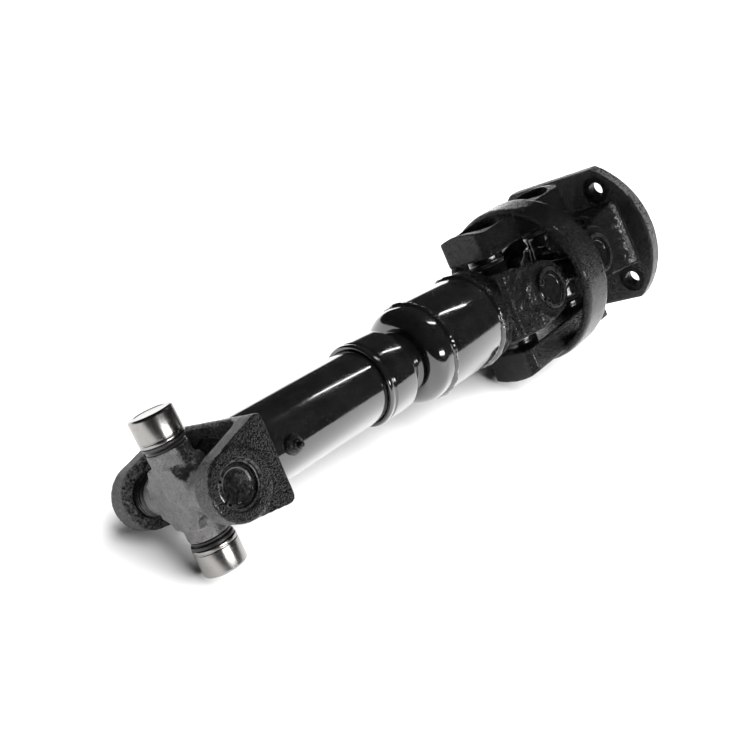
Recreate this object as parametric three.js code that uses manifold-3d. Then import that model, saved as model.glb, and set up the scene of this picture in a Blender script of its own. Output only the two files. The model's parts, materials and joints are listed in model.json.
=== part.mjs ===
// Double-jointed drive shaft with a sliding spline: a bare cross at the near end, a slip yoke, a short
// drive tube and a constant-velocity pair of joints that ends in a four-hole flange.
// Millimetres, +Z up. The shaft lies on its side: its axis runs along +X towards the flange, rolled and
// inclined until the near bearing cup, the near ear and the far joint all touch z = 0.
import * as THREE from 'three';
import { mergeVertices } from 'three/addons/utils/BufferGeometryUtils.js';
import Module from 'manifold-3d';

const wasm = await Module();
wasm.setup();

// ---- driving dimensions -------------------------------------------------------------------------
const GAP = 0.3;                     // assembly gap between pieces that touch
const ROUND = 28;                    // facets round the shaft
const FINE = 14;                     // facets round the bearings

// how the shaft lies
const LIE_ROLL = -33;                // degrees about the shaft axis
const LIE_INCLINE = -2;              // degrees, flange end raised
const CROSS_TILT = -2.8;             // degrees, near cross about its held arms
const JOINT_BEND = -2.7;             // degrees of bend in each half of the double joint

// stations along the shaft, from the centre of the near cross
const JOINT_A = 311.2;               // first cross of the double joint
const JOINT_SPAN = 70;               // distance between the crosses of the double joint
const FLANGE_FACE = 429.7;           // face that bolts to the vehicle

// bearings, 27 mm cups on a 92 mm cross
const CUP_R = 13.5;
const CUP_LENGTH = 16;
const CUP_FLOOR = 2.2;
const CUP_INNER_R = 12.1;
const CUP_SEATED = 46;               // cross centre to the end of a cup held in an ear
const CUP_FREE = 49.2;               // cross centre to the end of a loose cup
const FREE_STANDOFF = 1.3;           // how much longer the loose cups are than the seated ones
const NEEDLE_OUTER_R = 11.75;
const NEEDLE_INNER_R = 9.8;
const TRUNNION_R = 9.5;
const TRUNNION_END = 43.4;
const SHOULDER_R = 12.5;
const SHOULDER_END = 27.2;
const SEAL_R = 13;
const SEAL_INNER_R = 10.7;
const HUB_HALF = 12;                 // half thickness of a cross

// ears of every yoke
const EAR_IN = 36.3;
const EAR_OUT = 48;
const SHANK_OUT = 44.5;              // the shanks behind the ears of the double joint are thinner
const SKIRT = 3.5;                   // how far a boss spreads where it meets its shank
const BOSS_OUT = 49.5;
const EAR_R = 20.5;
const BORE_R = 13.85;
const CLIP_R = 14.9;
const CLIP_INNER_R = 12.4;
const CLIP_THICK = 1.4;
const CLIP_GROOVE_R = 15.3;
const CLIP_EYE_R = 9.8;              // how far in the eyes of a clip reach

// slip yoke, spline and dust cap
const FORK_FLOOR = 25;
const FORK_BACK = 31;
const FORK_TOP = 29.3;
const FORK_BOTTOM = -24.6;
const FORK_CORNER = 4;               // chamfer at the corners of the fork's sides
const BARREL_R = 25.4;
const BARREL_END = 163;
const PLUG_R = 21;
const CAP_START = 145;
const CAP_END = 174;
const CAP_R = 28.6;
const SPLINE_TEETH = 12;
const SPLINE_TIP_R = 18;
const SPLINE_ROOT_R = 16;
const SPLINE_START = 62;
const SPLINE_PLAY = 0.35;            // running clearance of the spline
const JOURNAL_R = 18.8;
const JOURNAL_START = 141;

// drive tube and weld yoke
const TUBE_R = 34;
const TUBE_WALL = 3;
const DOME_START = 187.5;
const RIM_START = 199;
const TUBE_START = 208.5;
const TUBE_END = 261;
const WELD_WIDTH = 3;
const SEAT_END = 279;
const SHANK_HALF_WIDTH = 25;

// double joint
const RING_R = 61.5;
const RING_INNER_R = 55.5;
const RING_HALF = 14.5;
const ARM_OUTER_R = 58.5;            // the arms' outer faces lie on this cylinder
const ARM_REACH = 21.5;
const ARM_RECESS_R = 19.3;
const ARM_HALF_WIDTH = 21.5;
const BALL_R = 8;
const SOCKET_INNER_R = 9;
const SOCKET_R = 12;
const BRIDGE_NEAR = 16;              // bridge of the centring yokes, from their cross
const BRIDGE_FAR = 21;

// flange
const FLANGE_FLOOR = 26;             // floor of the flange fork, from its cross
const FLANGE_BASE_HALF = 26;         // half width of the base between the bolt holes
const FLANGE_R = 68;
const FLANGE_FLAT = 55;
const FLANGE_THICK = 10;
const BOLT_OFFSET = 38.2;            // 108 mm bolt circle, four holes at 45 degrees
const BOLT_HOLE_R = 5.75;
const SPOT_FACE_R = 10.8;
const PILOT_R = 35;
const PILOT_DEPTH = 2.5;

// ---- materials ----------------------------------------------------------------------------------
function finish(color, roughness, metalness) {
  return new THREE.MeshStandardMaterial({ color, roughness, metalness });
}
const glossBlack = finish(0x0b0b0c, 0.15, 0.1);
const castBlack = finish(0x111112, 0.4, 0.2);
const rawSteel = finish(0x8d8d8a, 0.65, 0.6);
const brightSteel = finish(0xd4d2cd, 0.2, 1);
const rubber = finish(0x0c0c0c, 0.7, 0);
const springSteel = finish(0x1c1c1e, 0.4, 0.8);

// ---- geometry helpers ---------------------------------------------------------------------------
const rad = THREE.MathUtils.degToRad;

// A closed geometry as a manifold solid.
function solid(geometry) {
  geometry.deleteAttribute('normal');
  geometry.deleteAttribute('uv');
  const welded = mergeVertices(geometry, 1e-4);
  return new wasm.Manifold(new wasm.Mesh({
    numProp: 3,
    vertProperties: new Float32Array(welded.attributes.position.array),
    triVerts: new Uint32Array(welded.index.array),
  }));
}

function geometryOf(body) {
  const mesh = body.getMesh();
  const geometry = new THREE.BufferGeometry();
  geometry.setAttribute('position', new THREE.BufferAttribute(mesh.vertProperties, 3));
  geometry.setIndex(new THREE.BufferAttribute(mesh.triVerts, 1));
  geometry.computeVertexNormals();
  return geometry;
}

const TO_X = new THREE.Matrix4().makeRotationZ(-Math.PI / 2);
const TO_Z = new THREE.Matrix4().makeRotationX(Math.PI / 2);
const CROSSWISE = new THREE.Matrix4().set(0, 0, 1, 0, 1, 0, 0, 0, 0, 1, 0, 0, 0, 0, 0, 1);

// A turned piece: points are [radius, distance along the axis].
function turned(points, axis, facets = ROUND) {
  const profile = points.map(([radius, along]) => new THREE.Vector2(radius, along));
  const geometry = new THREE.LatheGeometry(profile, facets);
  if (axis === 'x') {
    geometry.applyMatrix4(TO_X);
  } else if (axis === 'z') {
    geometry.applyMatrix4(TO_Z);
  }
  return geometry;
}

function rod(radius, from, to, axis, facets = ROUND) {
  return turned([[0, from], [radius, from], [radius, to], [0, to]], axis, facets);
}

// A ring profile closes on itself.
function ring(inner, outer, from, to, axis, facets = ROUND) {
  return turned([[inner, from], [outer, from], [outer, to], [inner, to], [inner, from]], axis, facets);
}

function outline(points) {
  return new THREE.Shape(points.map(([x, y]) => new THREE.Vector2(x, y)));
}

// A flat shape drawn in X and Y, given a thickness along Z.
function slab(shape, from, to, curveSegments = 6) {
  const geometry = new THREE.ExtrudeGeometry(shape, {
    depth: to - from, bevelEnabled: false, curveSegments,
  });
  return geometry.translate(0, 0, from);
}

// A shape drawn in X and Z, given a width along Y.
function sideSlab(shape, halfWidth, curveSegments) {
  return slab(shape, -halfWidth, halfWidth, curveSegments).applyMatrix4(TO_Z);
}

// A shape drawn in Y and Z, given a length along X.
function crossSlab(shape, from, to, curveSegments) {
  return slab(shape, from, to, curveSegments).applyMatrix4(CROSSWISE);
}

// ---- scene graph: one group for each frame of the mechanism --------------------------------------
const root = new THREE.Group();
const lying = new THREE.Group();
lying.rotation.set(rad(LIE_ROLL), rad(LIE_INCLINE), 0, 'YXZ');
root.add(lying);

function frame(name, parent, x, tilt = 0) {
  const group = new THREE.Group();
  group.name = name;
  group.position.x = x;
  group.rotation.y = rad(tilt);
  parent.add(group);
  return group;
}
const shaft = frame('frame_shaft', lying, 0);
const nearCross = frame('frame_near_cross', shaft, 0, CROSS_TILT);
const weldYokeFrame = frame('frame_weld_yoke', shaft, JOINT_A);
const crossA = frame('frame_cross_a', shaft, JOINT_A, JOINT_BEND);
const crossB = frame('frame_cross_b', crossA, JOINT_SPAN);
const flange = frame('frame_flange', crossB, 0, JOINT_BEND);

function add(name, geometry, material, parent) {
  const mesh = new THREE.Mesh(geometry, material);
  mesh.name = name;
  parent.add(mesh);
  return mesh;
}

// ---- crosses and their bearings -------------------------------------------------------------------
// Four arms with concave corners between them; each arm steps down to its trunnion.
function spider() {
  const arm = SHOULDER_R;
  const corner = 19;                 // where the concave corner between two arms starts
  const shape = new THREE.Shape();
  shape.moveTo(corner, -arm + 1.5);
  for (let quarter = 0; quarter < 4; quarter += 1) {
    const turn = quarter * Math.PI / 2;
    const at = (x, y) => [x * Math.cos(turn) - y * Math.sin(turn), x * Math.sin(turn) + y * Math.cos(turn)];
    shape.lineTo(...at(corner, arm - 1.5));
    shape.quadraticCurveTo(...at(arm, arm), ...at(arm - 1.5, corner));
  }
  const hub = solid(crossSlab(shape, -HUB_HALF, HUB_HALF, 3));
  const arms = ['y', 'z'].map((axis) => solid(turned([
    [0, -TRUNNION_END], [TRUNNION_R - 1, -TRUNNION_END], [TRUNNION_R, -TRUNNION_END + 1],
    [TRUNNION_R, -SHOULDER_END], [SHOULDER_R, -SHOULDER_END], [SHOULDER_R, SHOULDER_END],
    [TRUNNION_R, SHOULDER_END], [TRUNNION_R, TRUNNION_END - 1], [TRUNNION_R - 1, TRUNNION_END],
    [0, TRUNNION_END],
  ], axis, FINE)));
  return geometryOf(hub.add(arms[0]).add(arms[1]));
}

// Cup, seal and needle ring are drawn along +Y, away from the cross centre, and turned onto their arm.
function cup(end, length) {
  const rim = end - length;
  const floor = end - CUP_FLOOR;
  return turned([
    [0, floor], [CUP_INNER_R, floor], [CUP_INNER_R, rim], [CUP_R, rim], [CUP_R, end - 1],
    [CUP_R - 1, end], [0, end],
  ], 'y', FINE);
}

function seal(end, length) {
  const from = SHOULDER_END + GAP;
  const to = end - length - GAP;
  return turned([
    [SEAL_INNER_R, from], [SHOULDER_R - 0.7, from], [SEAL_R, to - 0.6], [SEAL_R, to],
    [SEAL_INNER_R, to], [SEAL_INNER_R, from],
  ], 'y', FINE);
}

function needles(end, length) {
  const from = end - length + 0.6;
  return ring(NEEDLE_INNER_R, NEEDLE_OUTER_R, from, TRUNNION_END - 0.4, 'y', FINE);
}

// An open spring clip with two eyes at its gap, which faces -X.
function snapRing() {
  const gapAngle = rad(28);
  const eyeAngle = 2 * gapAngle;
  const eye = (angle) => [CLIP_EYE_R * Math.cos(angle), CLIP_EYE_R * Math.sin(angle)];
  const shape = new THREE.Shape();
  shape.absarc(0, 0, CLIP_R, gapAngle, 2 * Math.PI - gapAngle, false);
  shape.lineTo(...eye(-gapAngle));
  shape.lineTo(...eye(-eyeAngle));
  shape.absarc(0, 0, CLIP_INNER_R, 2 * Math.PI - eyeAngle, eyeAngle, true);
  shape.lineTo(...eye(eyeAngle));
  shape.lineTo(...eye(gapAngle));
  const from = CUP_SEATED + GAP;
  const geometry = slab(shape, from, from + CLIP_THICK, 7);
  return geometry.rotateX(-Math.PI / 2).rotateY(Math.PI);
}

// Turns a piece drawn along +Y onto one of the four arms of a cross.
const ARM_TURN = { left: 0, top: Math.PI / 2, right: Math.PI, bottom: -Math.PI / 2 };
function fitPiece(name, arm, geometry, material, parent) {
  add(`${name}_${arm}`, geometry, material, parent).rotation.x = ARM_TURN[arm];
}

// A bearing pressed into a yoke and held by its clip; the cup is painted with the yoke.
function fitSeated(joint, arm, parent) {
  fitPiece(`${joint}_cup`, arm, cup(CUP_SEATED, CUP_LENGTH), castBlack, parent);
  fitPiece(`${joint}_seal`, arm, seal(CUP_SEATED, CUP_LENGTH), rubber, parent);
  fitPiece(`${joint}_snap_ring`, arm, snapRing(), springSteel, parent);
}

// The near cross is bare: two seated bearings, and two loose ones of bright steel.
const FREE_LENGTH = CUP_LENGTH + FREE_STANDOFF;
add('near_cross', spider(), rawSteel, nearCross);
['top', 'bottom'].forEach((arm) => {
  fitPiece('near_cup', arm, cup(CUP_FREE, FREE_LENGTH), brightSteel, nearCross);
  fitPiece('near_seal', arm, seal(CUP_FREE, FREE_LENGTH), rubber, nearCross);
  fitPiece('near_needles', arm, needles(CUP_FREE, FREE_LENGTH), brightSteel, nearCross);
});
['left', 'right'].forEach((arm) => {
  fitSeated('near', arm, shaft);
  fitPiece('near_needles', arm, needles(CUP_SEATED, CUP_LENGTH), brightSteel, shaft);
});
add('cross_a', spider(), castBlack, crossA);
['left', 'right'].forEach((arm) => fitSeated('joint_a', arm, weldYokeFrame));
['top', 'bottom'].forEach((arm) => fitSeated('joint_a', arm, crossA));
add('cross_b', spider(), castBlack, crossB);
['top', 'bottom'].forEach((arm) => fitSeated('joint_b', arm, crossB));
['left', 'right'].forEach((arm) => fitSeated('joint_b', arm, flange));

// ---- ears shared by the yokes ---------------------------------------------------------------------
// Everything below is drawn with the cross centre at the origin and the yoke's body towards +X.
const OVERSIZE = 70;                 // half width of the outlines that yokes are cut from

// A round boss on the outside of each ear, spreading into a skirt where it meets the ear.
function earBosses(skirt = 0) {
  const low = SHANK_OUT - 3;
  const profile = [
    [0, low], [EAR_R + skirt, low], [EAR_R + skirt, SHANK_OUT],
    [EAR_R, SHANK_OUT + skirt], [EAR_R, BOSS_OUT], [0, BOSS_OUT],
  ];
  const mirrored = profile.map(([radius, along]) => [radius, -along]).reverse();
  return solid(turned(profile, 'y', 24)).add(solid(turned(mirrored, 'y', 24)));
}

function earBores(body, axis = 'y') {
  const deep = RING_R + 5;
  const groove = CUP_SEATED + 0.1;
  const width = CLIP_THICK + 0.5;
  let result = body.subtract(solid(rod(BORE_R, 20, deep, axis, 20)));
  result = result.subtract(solid(rod(BORE_R, -deep, -20, axis, 20)));
  [groove, -groove - width].forEach((from) => {
    result = result.subtract(solid(ring(10, CLIP_GROOVE_R, from, from + width, axis, 20)));
  });
  return result;
}

// Side view of an ear: round about the cross, widening along tangents to the yoke's body. The corners
// list the body's side from its bottom front to its top front.
function earOutline(corners) {
  const tangent = ([x, z]) => Math.atan2(Math.abs(z), x) + Math.acos(EAR_R / Math.hypot(x, z));
  const shape = new THREE.Shape();
  shape.absarc(0, 0, EAR_R, tangent(corners.at(-1)), 2 * Math.PI - tangent(corners[0]), false);
  corners.forEach(([x, z]) => shape.lineTo(x, z));
  return shape;
}

// ---- slip yoke --------------------------------------------------------------------------------------
function splineOutline(tip, root) {
  const points = [];
  for (let tooth = 0; tooth < SPLINE_TEETH; tooth += 1) {
    [[-0.3, root], [-0.18, tip], [0.18, tip], [0.3, root]].forEach(([step, radius]) => {
      const angle = 2 * Math.PI * (tooth + step) / SPLINE_TEETH;
      points.push([radius * Math.cos(angle), radius * Math.sin(angle)]);
    });
  }
  return outline(points);
}

function slipYoke() {
  const end = EAR_R + 1;
  const plan = outline([
    [-end, -EAR_OUT], [FORK_BACK, -EAR_OUT], [FORK_BACK + 5, -BARREL_R + 1], [FORK_BACK + 5, BARREL_R - 1],
    [FORK_BACK, EAR_OUT], [-end, EAR_OUT], [-end, EAR_IN], [18, EAR_IN], [FORK_FLOOR - 2, EAR_IN - 3],
    [FORK_FLOOR, EAR_IN - 8], [FORK_FLOOR, -EAR_IN + 8], [FORK_FLOOR - 2, -EAR_IN + 3], [18, -EAR_IN],
    [-end, -EAR_IN],
  ]);
  const front = FORK_BACK - FORK_CORNER;
  const back = FORK_BACK + 6;
  const side = earOutline([
    [front, FORK_BOTTOM], [FORK_BACK, FORK_BOTTOM + FORK_CORNER], [back, FORK_BOTTOM + FORK_CORNER],
    [back, FORK_TOP - FORK_CORNER], [FORK_BACK, FORK_TOP - FORK_CORNER], [front, FORK_TOP],
  ]);
  const fork = solid(slab(plan, -OVERSIZE, OVERSIZE)).intersect(solid(sideSlab(side, OVERSIZE, 6)));
  const barrel = solid(rod(BARREL_R, FORK_BACK, BARREL_END, 'x'));
  const body = earBores(fork.add(barrel).add(earBosses()));
  const mouth = BARREL_END + 1;
  const splineBore = splineOutline(SPLINE_TIP_R + SPLINE_PLAY, SPLINE_ROOT_R + SPLINE_PLAY);
  return geometryOf(body
    .subtract(solid(rod(PLUG_R + GAP, FORK_FLOOR - 1, FORK_FLOOR + 6, 'x')))
    .subtract(solid(crossSlab(splineBore, FORK_FLOOR, mouth)))
    .subtract(solid(rod(JOURNAL_R + SPLINE_PLAY, JOURNAL_START - 10, mouth, 'x'))));
}
add('slip_yoke', slipYoke(), castBlack, shaft);

// A pressed plug, dished towards the cross, closes the spline bore.
add('slip_yoke_core_plug', turned([
  [0, FORK_FLOOR + 2.5], [PLUG_R - 5, FORK_FLOOR + 2.5], [PLUG_R - 2, FORK_FLOOR + 1],
  [PLUG_R, FORK_FLOOR + 1], [PLUG_R, FORK_FLOOR + 3.5], [PLUG_R - 3, FORK_FLOOR + 4],
  [PLUG_R - 6, FORK_FLOOR + 5.4], [0, FORK_FLOOR + 5.4],
], 'x', 24), castBlack, shaft);

const SEAL_FROM = BARREL_END + GAP;
const SEAL_TO = CAP_END - 4.5;
const CAP_BORE_R = BARREL_R + GAP + 0.1;
const CAP_LIP_R = JOURNAL_R + 0.7;
add('slip_dust_cap', turned([
  [CAP_BORE_R, CAP_START], [CAP_R - 0.6, CAP_START], [CAP_R, CAP_START + 0.8], [CAP_R, CAP_START + 4],
  [CAP_R - 0.8, CAP_START + 5], [CAP_R, CAP_START + 6], [CAP_R, CAP_END - 2], [CAP_R - 2, CAP_END],
  [CAP_LIP_R, CAP_END], [CAP_LIP_R, SEAL_TO + GAP], [CAP_BORE_R, SEAL_TO + GAP],
  [CAP_BORE_R, CAP_START],
], 'x'), glossBlack, shaft);
add('slip_seal', ring(JOURNAL_R + 0.35, BARREL_R - 0.2, SEAL_FROM, SEAL_TO, 'x'), rubber, shaft);

// Grease fitting in a boss on the barrel, just behind the near ear.
const FITTING_X = 60;
const FITTING_ANGLE = 96;            // degrees about the shaft from +Z towards -Y
const fitting = turned([
  [0, BARREL_R + GAP], [6.5, BARREL_R + GAP], [6.5, BARREL_R + 3], [5.2, BARREL_R + 4.2],
  [3, BARREL_R + 4.2], [3, BARREL_R + 6.2], [1.8, BARREL_R + 7], [2.3, BARREL_R + 8],
  [1.5, BARREL_R + 9], [0, BARREL_R + 9],
], 'z', 12);
const fittingMesh = add('slip_grease_fitting', fitting.translate(FITTING_X, 0, 0), castBlack, shaft);
fittingMesh.rotation.x = rad(FITTING_ANGLE);

// ---- drive tube, spline stub and weld yoke ----------------------------------------------------------
function splineStub() {
  const spigotR = TUBE_R - TUBE_WALL - GAP;
  const rimEnd = TUBE_START - WELD_WIDTH;
  const neckR = JOURNAL_R + 4;
  const profile = [
    [0, JOURNAL_START], [JOURNAL_R, JOURNAL_START], [JOURNAL_R, DOME_START - 2], [neckR, DOME_START],
  ];
  const steps = 5;
  for (let step = 1; step <= steps; step += 1) {
    const angle = step / steps * Math.PI / 2;
    profile.push([
      neckR + (TUBE_R - neckR) * Math.sin(angle),
      DOME_START + (RIM_START - DOME_START) * (1 - Math.cos(angle)),
    ]);
  }
  profile.push([TUBE_R, rimEnd], [spigotR, rimEnd], [spigotR, rimEnd + 14], [spigotR - 6, rimEnd + 16]);
  profile.push([spigotR - 6, rimEnd - 3], [0, rimEnd - 6]);
  const teeth = crossSlab(splineOutline(SPLINE_TIP_R, SPLINE_ROOT_R), SPLINE_START, JOURNAL_START + 2);
  return geometryOf(solid(turned(profile, 'x')).add(solid(teeth)));
}
add('spline_stub', splineStub(), glossBlack, shaft);
add('drive_tube', ring(TUBE_R - TUBE_WALL, TUBE_R, TUBE_START, TUBE_END, 'x'), glossBlack, shaft);

// Weld metal fills the groove between a rim and the tube.
function weldBead(from) {
  const inner = TUBE_R - TUBE_WALL + 0.5;
  const to = from + WELD_WIDTH - 2 * GAP;
  const crown = TUBE_R + 0.7;
  return turned([
    [inner, from], [TUBE_R, from], [crown, (from + to) / 2], [TUBE_R, to], [inner, to], [inner, from],
  ], 'x');
}
add('weld_front', weldBead(TUBE_START - WELD_WIDTH + GAP), glossBlack, shaft);
add('weld_rear', weldBead(TUBE_END + GAP), glossBlack, shaft);

// The weld yoke is drawn with its cross at the origin and its seat towards -X.
function weldYoke() {
  const seatEnd = SEAT_END - JOINT_A;
  const seatStart = TUBE_END + WELD_WIDTH - JOINT_A;
  const end = EAR_R + 1;
  const flare = seatEnd + 14;
  const plan = outline([
    [end, SHANK_OUT], [flare, SHANK_OUT], [seatEnd, TUBE_R - 0.5], [seatEnd - 6, TUBE_R - 0.5],
    [seatEnd - 6, -TUBE_R + 0.5], [seatEnd, -TUBE_R + 0.5], [flare, -SHANK_OUT], [end, -SHANK_OUT],
    [end, -EAR_IN], [seatEnd + 13, -EAR_IN], [seatEnd + 8, -EAR_IN + 4], [seatEnd + 4, -EAR_IN + 12],
    [seatEnd + 4, EAR_IN - 12], [seatEnd + 8, EAR_IN - 4], [seatEnd + 13, EAR_IN], [end, EAR_IN],
  ].reverse());
  const side = earOutline([
    [-seatEnd, -SHANK_HALF_WIDTH], [-seatEnd + 7, -SHANK_HALF_WIDTH], [-seatEnd + 7, SHANK_HALF_WIDTH],
    [-seatEnd, SHANK_HALF_WIDTH],
  ]);
  const sides = solid(sideSlab(side, OVERSIZE, 6).rotateZ(Math.PI));
  const fork = solid(slab(plan, -OVERSIZE, OVERSIZE)).add(earBosses(SKIRT)).intersect(sides);
  const spigotR = TUBE_R - TUBE_WALL - GAP;
  const seat = solid(turned([
    [0, seatStart - 6], [spigotR - 6, seatStart - 2], [spigotR - 6, seatStart - 13],
    [spigotR, seatStart - 12], [spigotR, seatStart], [TUBE_R, seatStart], [TUBE_R, seatEnd - 1],
    [TUBE_R - 1, seatEnd], [0, seatEnd],
  ], 'x'));
  return geometryOf(earBores(fork.add(seat)));
}
add('weld_yoke', weldYoke(), castBlack, weldYokeFrame);

// ---- centring ball and socket -----------------------------------------------------------------------
// Each centring yoke hangs on the inner ends of two bearing cups and bridges its cross on the inside.
function centringYoke() {
  const lugFrom = EAR_IN - 5;
  const lugTo = EAR_IN - GAP;
  const lugR = 17;
  const half = 8;                    // half height of the bridge
  const bridge = solid(slab(outline([
    [BRIDGE_NEAR, -lugTo], [BRIDGE_FAR, -lugTo], [BRIDGE_FAR, lugTo], [BRIDGE_NEAR, lugTo],
  ]), -half, half));
  let body = bridge;
  [[lugFrom, lugTo], [-lugTo, -lugFrom]].forEach(([from, to]) => {
    body = body.add(solid(rod(lugR, from, to, 'y', 24)));
    body = body.add(solid(slab(outline([
      [0, from], [BRIDGE_FAR, from], [BRIDGE_FAR, to], [0, to],
    ]), -half, half)));
  });
  return body
    .subtract(solid(rod(CUP_R + 0.5, 20, 40, 'y', 24)))
    .subtract(solid(rod(CUP_R + 0.5, -40, -20, 'y', 24)));
}

function ballStud() {
  const centre = JOINT_SPAN / 2;
  const stemR = 5;
  const stemEnd = centre - Math.sqrt(BALL_R ** 2 - stemR ** 2);
  const profile = [[0, BRIDGE_NEAR + 1], [stemR, BRIDGE_NEAR + 1], [stemR, stemEnd]];
  const steps = 6;
  const first = Math.asin(stemR / BALL_R);
  for (let step = 1; step <= steps; step += 1) {
    const angle = first + (Math.PI - first) * step / steps;
    profile.push([BALL_R * Math.sin(angle), centre - BALL_R * Math.cos(angle)]);
  }
  profile[profile.length - 1] = [0, centre + BALL_R];
  return geometryOf(centringYoke().add(solid(turned(profile, 'x', FINE))));
}
add('centring_ball_yoke', ballStud(), castBlack, weldYokeFrame);

// The socket faces -X from the second cross; its seat is sprung against the ball.
function socketYoke() {
  const mouth = JOINT_SPAN / 2 + 4;
  const tower = solid(rod(SOCKET_R, BRIDGE_NEAR, mouth, 'x', 24));
  const bore = solid(rod(SOCKET_INNER_R, BRIDGE_NEAR + 4, mouth + 1, 'x', 24));
  const body = centringYoke().add(tower).subtract(bore);
  return geometryOf(body).rotateZ(Math.PI);
}
add('centring_socket_yoke', socketYoke(), castBlack, flange);

const SEAT_BACK = -(BRIDGE_NEAR + 4 + GAP);
add('centring_ball_spring', ring(4.5, 6.5, SEAT_BACK - 1.6, SEAT_BACK, 'x', FINE), springSteel, flange);

// ---- centre yoke ------------------------------------------------------------------------------------
// A ring with two arms towards each cross; drawn in the frame of the first cross.
function centreYoke() {
  const middle = JOINT_SPAN / 2;
  const bevel = 5;
  const start = -ARM_REACH;
  const end = JOINT_SPAN + ARM_REACH;
  const armPlan = outline([
    [start + bevel, -ARM_HALF_WIDTH], [end - bevel, -ARM_HALF_WIDTH], [end, -ARM_HALF_WIDTH + bevel],
    [end, ARM_HALF_WIDTH - bevel], [end - bevel, ARM_HALF_WIDTH], [start + bevel, ARM_HALF_WIDTH],
    [start, ARM_HALF_WIDTH - bevel], [start, -ARM_HALF_WIDTH + bevel],
  ]);
  const round = solid(rod(ARM_OUTER_R, start - 1, end + 1, 'x', 32));
  let body = solid(turned([
    [RING_INNER_R, middle - RING_HALF], [RING_R - 2, middle - RING_HALF], [RING_R, middle - RING_HALF + 3],
    [RING_R, middle + RING_HALF - 3], [RING_R - 2, middle + RING_HALF], [RING_INNER_R, middle + RING_HALF],
    [RING_INNER_R, middle - RING_HALF],
  ], 'x', 32));
  [[EAR_IN, RING_R], [-RING_R, -EAR_IN]].forEach(([from, to]) => {
    body = body.add(solid(slab(armPlan, from, to)).intersect(round));
  });
  [0, JOINT_SPAN].forEach((x) => {
    body = earBores(body.translate(-x, 0, 0), 'z');
    [[BOSS_OUT, RING_R], [-RING_R, -BOSS_OUT]].forEach(([from, to]) => {
      body = body.subtract(solid(rod(ARM_RECESS_R, from, to, 'z', 20)));
    });
    body = body.translate(x, 0, 0);
  });
  return geometryOf(body);
}
add('centre_yoke', centreYoke(), castBlack, crossA);

// ---- flange yoke ------------------------------------------------------------------------------------
function flangeYoke() {
  const face = FLANGE_FACE - JOINT_A - JOINT_SPAN;
  const front = face - FLANGE_THICK;
  const floor = FLANGE_FLOOR;
  const end = EAR_R + 1;
  const plan = outline([
    [-end, -SHANK_OUT], [floor, -SHANK_OUT], [front - 4, -EAR_OUT], [front + 1, -EAR_OUT - 4],
    [front + 1, EAR_OUT + 4], [front - 4, EAR_OUT], [floor, SHANK_OUT], [-end, SHANK_OUT], [-end, EAR_IN],
    [19, EAR_IN], [floor - 2, EAR_IN - 5], [floor, EAR_IN - 12], [floor, -EAR_IN + 12],
    [floor - 2, -EAR_IN + 5], [19, -EAR_IN], [-end, -EAR_IN],
  ]);
  const side = earOutline([
    [front - 4, -FLANGE_BASE_HALF], [front + 1, -FLANGE_BASE_HALF], [front + 1, FLANGE_BASE_HALF],
    [front - 4, FLANGE_BASE_HALF],
  ]);
  const sides = solid(sideSlab(side, OVERSIZE, 6));
  const fork = solid(slab(plan, -OVERSIZE, OVERSIZE)).add(earBosses(SKIRT)).intersect(sides);
  const half = Math.acos(FLANGE_FLAT / FLANGE_R);
  const plate = new THREE.Shape();
  plate.absarc(0, 0, FLANGE_R, -Math.PI / 2 + half, Math.PI / 2 - half, false);
  plate.absarc(0, 0, FLANGE_R, Math.PI / 2 + half, 3 * Math.PI / 2 - half, false);
  let body = earBores(fork.add(solid(crossSlab(plate, front, face, 12))));
  [-1, 1].forEach((y) => [-1, 1].forEach((z) => {
    const hole = rod(BOLT_HOLE_R, front - 5, face + 5, 'x', 16);
    const spotFace = rod(SPOT_FACE_R, front - 12, front + 0.8, 'x', 16);
    [hole, spotFace].forEach((cutter) => {
      body = body.subtract(solid(cutter.translate(0, y * BOLT_OFFSET, z * BOLT_OFFSET)));
    });
  }));
  return geometryOf(body.subtract(solid(rod(PILOT_R, face - PILOT_DEPTH, face + 1, 'x'))));
}
add('flange_yoke', flangeYoke(), castBlack, flange);

// ---- origin under the middle of the whole shaft, on the surface it lies on ----------------------------
root.updateMatrixWorld(true);
const box = new THREE.Box3().setFromObject(root, true);
lying.position.set(-(box.min.x + box.max.x) / 2, -(box.min.y + box.max.y) / 2, -box.min.z);
root.updateMatrixWorld(true);

export default root;
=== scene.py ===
"""Looks for the double-jointed drive shaft: fine meshes, painted and bare metal, floor, light, camera.

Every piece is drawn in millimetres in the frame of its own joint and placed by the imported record.
"""
import json
import math

import bmesh
import bpy
from mathutils import Matrix, Vector, noise


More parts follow.
